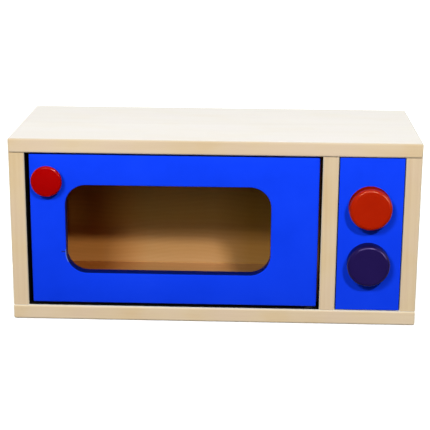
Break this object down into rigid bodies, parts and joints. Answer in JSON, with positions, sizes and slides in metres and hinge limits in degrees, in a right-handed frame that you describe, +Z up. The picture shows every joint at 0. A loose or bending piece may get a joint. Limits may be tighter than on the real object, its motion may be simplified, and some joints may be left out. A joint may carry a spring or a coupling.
{
  "type": "toy microwave",
  "caption": "Wooden play microwave: board case, side-hinged door with a rounded window and a knob, and a control panel with round turning dials.",
  "frame": {"origin": "middle of the flat underside of the bottom board", "axes": "+X to the right seen from the front, +Y from the front to the back, +Z up"},
  "size_m": [0.46, 0.2066, 0.2125],
  "materials": {
    "birch": "clear satin lacquer on birch",
    "plywood": "unpainted thin plywood",
    "blue_paint": "semi-gloss blue paint on wood",
    "red_paint": "gloss red paint on wood",
    "orange_red_paint": "gloss orange red paint on wood",
    "purple_paint": "gloss dark purple paint on wood",
    "steel": "zinc plated",
    "brass": "turned",
    "nylon": "moulded nylon",
    "black_nylon": "moulded nylon",
    "felt": "pressed felt",
    "magnet": "sintered ferrite"
  },
  "bodies": {
    "case": {"top_board": "birch", "bottom_board": "birch", "left_side_board": "birch", "right_side_board": "birch", "divider_board": "birch", "back_panel": "plywood", "left_side_front_dowel": "birch", "left_side_rear_dowel": "birch", "divider_front_dowel": "birch", "divider_rear_dowel": "birch", "right_side_front_dowel": "birch", "right_side_rear_dowel": "birch", "left_side_front_base_screw": "steel", "left_side_rear_base_screw": "steel", "divider_front_base_screw": "steel", "divider_rear_base_screw": "steel", "right_side_front_base_screw": "steel", "right_side_rear_base_screw": "steel", "control_panel": "blue_paint", "left_panel_cleat": "birch", "right_panel_cleat": "birch", "left_panel_lower_screw": "steel", "left_panel_upper_screw": "steel", "right_panel_lower_screw": "steel", "right_panel_upper_screw": "steel", "upper_dial_bush": "nylon", "lower_dial_bush": "nylon", "upper_pivot_pin": "steel", "lower_pivot_pin": "steel", "upper_pivot_washer": "black_nylon", "lower_pivot_spacer": "black_nylon", "catch_housing": "black_nylon", "catch_magnet": "magnet", "lower_catch_screw": "steel", "upper_catch_screw": "steel"},
    "door": {"door_panel": "blue_paint", "door_knob": "red_paint", "door_knob_screw": "steel", "upper_pivot_bush": "brass", "lower_pivot_bush": "brass", "strike_plate": "steel", "strike_screw": "steel"},
    "upper_dial_set": {"upper_dial": "orange_red_paint", "upper_dial_axle": "steel", "upper_dial_felt_washer": "felt", "upper_dial_rear_washer": "steel", "upper_dial_lock_nut": "steel"},
    "lower_dial_set": {"lower_dial": "purple_paint", "lower_dial_axle": "steel", "lower_dial_felt_washer": "felt", "lower_dial_rear_washer": "steel", "lower_dial_lock_nut": "steel"}
  },
  "joints": [
    {"name": "door_hinge", "type": "hinge", "parent": "case", "child": "door", "pos_m": [0.1092, -0.0865, 0.1074], "axis": [0, 0, 1], "range_deg": [0, 110]},
    {"name": "upper_dial_turn", "type": "hinge", "parent": "case", "child": "upper_dial_set", "pos_m": [0.1738, -0.0935, 0.14001], "axis": [0, -1, 0], "continuous": true},
    {"name": "lower_dial_turn", "type": "hinge", "parent": "case", "child": "lower_dial_set", "pos_m": [0.1738, -0.0935, 0.07462], "axis": [0, -1, 0], "continuous": true}
  ]
}
